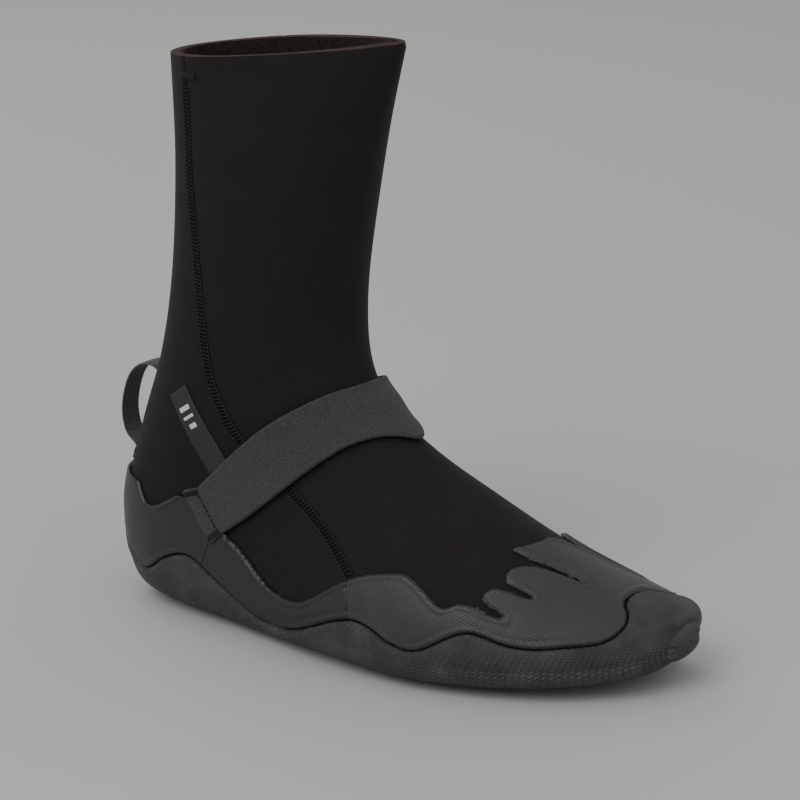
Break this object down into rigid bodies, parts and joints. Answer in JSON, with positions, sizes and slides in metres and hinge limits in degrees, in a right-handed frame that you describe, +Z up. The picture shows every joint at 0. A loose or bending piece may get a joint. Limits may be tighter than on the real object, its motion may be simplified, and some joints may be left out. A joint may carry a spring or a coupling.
{
  "type": "neoprene surf boot",
  "caption": "Right-foot neoprene surf boot with moulded rubber sole and toe cap, hook-and-loop instep strap and webbing heel pull loop.",
  "frame": {"origin": "middle of the bounding box in plan, on the floor under the sole", "axes": "+X to the toe, +Z up the leg, +Y to the inner side of a right foot; the strap is sewn on at the outer side, -Y"},
  "size_m": [0.2932, 0.1108, 0.2697],
  "materials": {
    "jersey_foam": "matt black nylon jersey on foam rubber, fine vertical knit",
    "lining_fleece": "black fleece lining, fuzzy",
    "seam_tape": "glued seam tape, matt",
    "thread": "black polyester thread",
    "sole_rubber": "matt grey-black rubber with fine ribs",
    "smooth_rubber": "semi-matt smooth rubber",
    "grain_rubber": "semi-matt rubber with a fine hexagonal grain",
    "strap_webbing": "dark grey brushed elastic webbing",
    "hook_pile": "black hook tape",
    "loop_pile": "black loop pile",
    "printed_tape": "satin dark grey tape with light printed bars",
    "loop_webbing": "thin grey jacquard webbing"
  },
  "bodies": {
    "boot": {"front_panel": "jersey_foam", "rear_panel": "jersey_foam", "sole_panel": "jersey_foam", "thermal_lining": "lining_fleece", "outer_seam_tape": "seam_tape", "inner_seam_tape": "seam_tape", "outer_shaft_stitch": "thread", "outer_foot_stitch": "thread", "outer_cuff_bartack": "thread", "inner_shaft_stitch": "thread", "inner_foot_stitch": "thread", "inner_cuff_bartack": "thread", "outsole": "sole_rubber", "heel_cup": "smooth_rubber", "outer_rand": "smooth_rubber", "inner_rand": "smooth_rubber", "toe_cap": "grain_rubber", "strap_anchor": "strap_webbing", "anchor_stitch": "thread", "anchor_bartack_top": "thread", "anchor_bartack_bottom": "thread", "loop_patch": "loop_pile", "size_tab": "printed_tape", "loop_end_top": "loop_webbing", "loop_end_bottom": "loop_webbing"},
    "strap": {"instep_strap": "strap_webbing"},
    "strap_tab": {"strap_free_end": "strap_webbing", "hook_patch": "hook_pile"},
    "pull_loop": {"heel_pull_loop": "loop_webbing"}
  },
  "joints": [
    {"name": "strap_lift", "type": "hinge", "parent": "boot", "child": "strap", "pos_m": [-0.06773, -0.04128, 0.05675], "axis": [0.6059, -0.064, -0.7929], "range_deg": [0, 60]},
    {"name": "tab_peel", "type": "hinge", "parent": "strap", "child": "strap_tab", "pos_m": [0.00228, 0.01017, 0.10907], "axis": [0.7278, 0, -0.6858], "range_deg": [0, 72]},
    {"name": "loop_swing", "type": "hinge", "parent": "boot", "child": "pull_loop", "pos_m": [-0.13531, 0.00017, 0.09055], "axis": [0.4639, 0, 0.8859], "range_deg": [-25, 25]}
  ],
  "couplings": [
    {"joint": "tab_peel", "follows": "strap_lift", "ratio": 1.2}
  ]
}
